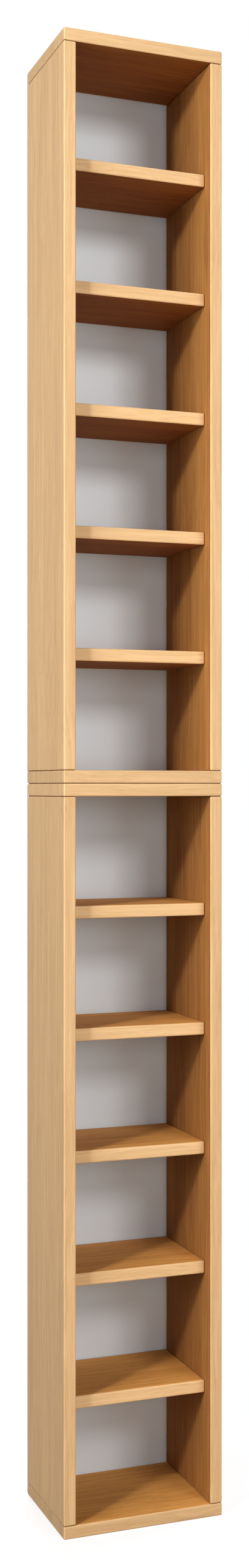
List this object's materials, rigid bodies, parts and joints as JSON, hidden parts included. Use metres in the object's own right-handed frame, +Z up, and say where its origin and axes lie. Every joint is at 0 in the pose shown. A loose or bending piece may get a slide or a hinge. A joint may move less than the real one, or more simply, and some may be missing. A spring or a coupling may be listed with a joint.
{
  "type": "cd rack",
  "caption": "Tall slim open-fronted rack for compact discs: stacked beech-finish modules with pull-out shelves on hidden wires, compartments sized for upright disc cases and a thin pale back.",
  "frame": {"origin": "middle of the underside of the lower module, on the surface that the rack stands on", "axes": "+Z up, -Y out of the open front, +X to the right as seen from the front"},
  "size_m": [0.212, 0.1534, 1.8603],
  "materials": {
    "beech_sides": "satin lacquered straight-grained beech decor, grain upright",
    "beech_boards": "satin lacquered straight-grained beech decor, grain across the width",
    "beech_shelves": "satin lacquered straight-grained beech decor, grain across the width",
    "back_panel": "thin hardboard, painted pale grey white in front and bare brown at the rear",
    "wire_steel": "bright zinc-plated round wire",
    "screw_steel": "zinc plated",
    "joiner_steel": "nickel plated"
  },
  "bodies": {
    "root": {"lower_left_side": "beech_sides", "lower_right_side": "beech_sides", "lower_bottom_board": "beech_boards", "lower_top_board": "beech_boards", "lower_back_panel": "back_panel", "lower_shelf_1_left_wire": "wire_steel", "lower_shelf_1_right_wire": "wire_steel", "lower_shelf_2_left_wire": "wire_steel", "lower_shelf_2_right_wire": "wire_steel", "lower_shelf_3_left_wire": "wire_steel", "lower_shelf_3_right_wire": "wire_steel", "lower_shelf_4_left_wire": "wire_steel", "lower_shelf_4_right_wire": "wire_steel", "lower_shelf_5_left_wire": "wire_steel", "lower_shelf_5_right_wire": "wire_steel", "lower_bottom_front_left_screw": "screw_steel", "lower_bottom_front_right_screw": "screw_steel", "lower_bottom_rear_left_screw": "screw_steel", "lower_bottom_rear_right_screw": "screw_steel", "lower_top_front_left_screw": "screw_steel", "lower_top_front_right_screw": "screw_steel", "lower_top_rear_left_screw": "screw_steel", "lower_top_rear_right_screw": "screw_steel", "upper_left_side": "beech_sides", "upper_right_side": "beech_sides", "upper_bottom_board": "beech_boards", "upper_top_board": "beech_boards", "upper_back_panel": "back_panel", "upper_shelf_1_left_wire": "wire_steel", "upper_shelf_1_right_wire": "wire_steel", "upper_shelf_2_left_wire": "wire_steel", "upper_shelf_2_right_wire": "wire_steel", "upper_shelf_3_left_wire": "wire_steel", "upper_shelf_3_right_wire": "wire_steel", "upper_shelf_4_left_wire": "wire_steel", "upper_shelf_4_right_wire": "wire_steel", "upper_shelf_5_left_wire": "wire_steel", "upper_shelf_5_right_wire": "wire_steel", "upper_bottom_front_left_screw": "screw_steel", "upper_bottom_front_right_screw": "screw_steel", "upper_bottom_rear_left_screw": "screw_steel", "upper_bottom_rear_right_screw": "screw_steel", "upper_top_front_left_screw": "screw_steel", "upper_top_front_right_screw": "screw_steel", "upper_top_rear_left_screw": "screw_steel", "upper_top_rear_right_screw": "screw_steel", "joining_sleeve_left": "joiner_steel", "joining_screw_left": "joiner_steel", "joining_sleeve_right": "joiner_steel", "joining_screw_right": "joiner_steel"},
    "lower_shelf_1": {"lower_shelf_1": "beech_shelves"},
    "lower_shelf_2": {"lower_shelf_2": "beech_shelves"},
    "lower_shelf_3": {"lower_shelf_3": "beech_shelves"},
    "lower_shelf_4": {"lower_shelf_4": "beech_shelves"},
    "lower_shelf_5": {"lower_shelf_5": "beech_shelves"},
    "upper_shelf_1": {"upper_shelf_1": "beech_shelves"},
    "upper_shelf_2": {"upper_shelf_2": "beech_shelves"},
    "upper_shelf_3": {"upper_shelf_3": "beech_shelves"},
    "upper_shelf_4": {"upper_shelf_4": "beech_shelves"},
    "upper_shelf_5": {"upper_shelf_5": "beech_shelves"}
  },
  "joints": [
    {"name": "lower_shelf_1_slide", "type": "slide", "parent": "root", "child": "lower_shelf_1", "axis": [0, -1, 0], "range_m": [0, 0.1]},
    {"name": "lower_shelf_2_slide", "type": "slide", "parent": "root", "child": "lower_shelf_2", "axis": [0, -1, 0], "range_m": [0, 0.1]},
    {"name": "lower_shelf_3_slide", "type": "slide", "parent": "root", "child": "lower_shelf_3", "axis": [0, -1, 0], "range_m": [0, 0.1]},
    {"name": "lower_shelf_4_slide", "type": "slide", "parent": "root", "child": "lower_shelf_4", "axis": [0, -1, 0], "range_m": [0, 0.1]},
    {"name": "lower_shelf_5_slide", "type": "slide", "parent": "root", "child": "lower_shelf_5", "axis": [0, -1, 0], "range_m": [0, 0.1]},
    {"name": "upper_shelf_1_slide", "type": "slide", "parent": "root", "child": "upper_shelf_1", "axis": [0, -1, 0], "range_m": [0, 0.1]},
    {"name": "upper_shelf_2_slide", "type": "slide", "parent": "root", "child": "upper_shelf_2", "axis": [0, -1, 0], "range_m": [0, 0.1]},
    {"name": "upper_shelf_3_slide", "type": "slide", "parent": "root", "child": "upper_shelf_3", "axis": [0, -1, 0], "range_m": [0, 0.1]},
    {"name": "upper_shelf_4_slide", "type": "slide", "parent": "root", "child": "upper_shelf_4", "axis": [0, -1, 0], "range_m": [0, 0.1]},
    {"name": "upper_shelf_5_slide", "type": "slide", "parent": "root", "child": "upper_shelf_5", "axis": [0, -1, 0], "range_m": [0, 0.1]}
  ]
}
